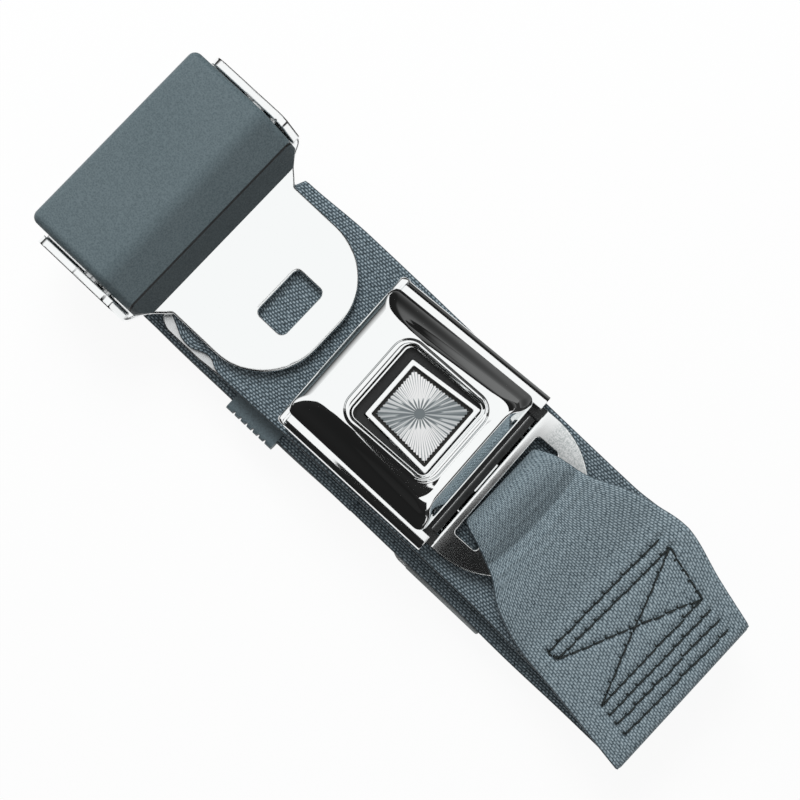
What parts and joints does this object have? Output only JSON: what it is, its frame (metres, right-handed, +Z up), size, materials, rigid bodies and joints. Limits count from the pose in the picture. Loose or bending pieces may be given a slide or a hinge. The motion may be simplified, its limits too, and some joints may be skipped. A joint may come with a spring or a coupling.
{
  "type": "lap belt",
  "caption": "Folded two-point lap belt: push-button buckle with domed cover, tongue with webbing adjuster, keeper, sewn webbing and slotted anchor plates.",
  "frame": {"origin": "centre of the underside of the folded belt", "axes": "+X from the adjuster to the sewn fold, along the belt; +Z up, out of the stack's top"},
  "size_m": [0.199, 0.0646, 0.0337],
  "materials": {
    "webbing": "woven slate-grey polyester",
    "tab": "bare woven tab",
    "grey_plastic": "fine grain, slate grey",
    "bright_chrome": "bright plated",
    "bright_insert": "engine turned, clear",
    "plated_steel": "zinc plated",
    "black_plastic": "plain"
  },
  "bodies": {
    "folded_belt": {"lap_web": "webbing", "web_tail": "webbing", "buckle_web": "webbing", "sewn_lap": "webbing", "bare_tab": "tab", "lap_anchor_plate": "plated_steel", "buckle_anchor_plate": "plated_steel"},
    "keeper": {"web_keeper": "grey_plastic"},
    "adjuster": {"tongue_plate": "bright_chrome", "adjuster_cover": "grey_plastic", "cover_pins": "plated_steel", "adjuster_web": "webbing", "lock_bar_spring": "plated_steel", "load_web_bend": "webbing", "tail_web_bend": "webbing"},
    "lock_bar": {"lock_bar": "plated_steel"},
    "buckle": {"buckle_frame": "bright_chrome", "buckle_cover": "bright_chrome", "button_well": "black_plastic", "rear_guides": "black_plastic", "latch_pin": "plated_steel", "latch_spring": "plated_steel", "ejector_spring": "plated_steel", "tang_loop": "webbing"},
    "button": {"push_button": "bright_chrome", "button_insert": "bright_insert"},
    "latch": {"latch_plate": "plated_steel"},
    "ejector": {"ejector": "black_plastic"}
  },
  "joints": [
    {"name": "keeper_slide", "type": "slide", "parent": "folded_belt", "child": "keeper", "axis": [1, 0, 0], "range_m": [-0.018, 0.013]},
    {"name": "tongue_lift", "type": "hinge", "parent": "folded_belt", "child": "adjuster", "pos_m": [-0.09277, 0, 0.01439], "axis": [0, -1, 0], "range_deg": [0, 90], "deforming": ["load_web_bend", "tail_web_bend"]},
    {"name": "lock_bar_slide", "type": "slide", "parent": "adjuster", "child": "lock_bar", "axis": [-1, 0, 0], "range_m": [0, 0.003], "stiffness_N_per_m": 120, "springref_m": -0.003, "deforming": ["lock_bar_spring"]},
    {"name": "buckle_lift", "type": "hinge", "parent": "folded_belt", "child": "buckle", "pos_m": [0.058, 0.001, 0.0183], "axis": [0, 1, 0], "range_deg": [0, 90], "deforming": ["tang_loop"]},
    {"name": "button_press", "type": "slide", "parent": "buckle", "child": "button", "axis": [0, 0, -1], "range_m": [0, 0.0026], "stiffness_N_per_m": 500, "springref_m": -0.003},
    {"name": "latch_swing", "type": "hinge", "parent": "buckle", "child": "latch", "pos_m": [0.00475, 0.00112, 0.02462], "axis": [-0.0384, 0.9993, 0], "range_deg": [0, 21.5], "deforming": ["latch_spring"]},
    {"name": "ejector_slide", "type": "slide", "parent": "buckle", "child": "ejector", "axis": [0.9993, 0.0384, 0], "range_m": [0, 0.0077], "stiffness_N_per_m": 150, "springref_m": -0.004, "deforming": ["ejector_spring"]}
  ],
  "couplings": [
    {"joint": "latch_swing", "follows": "button_press", "rad_per_m": 140}
  ]
}
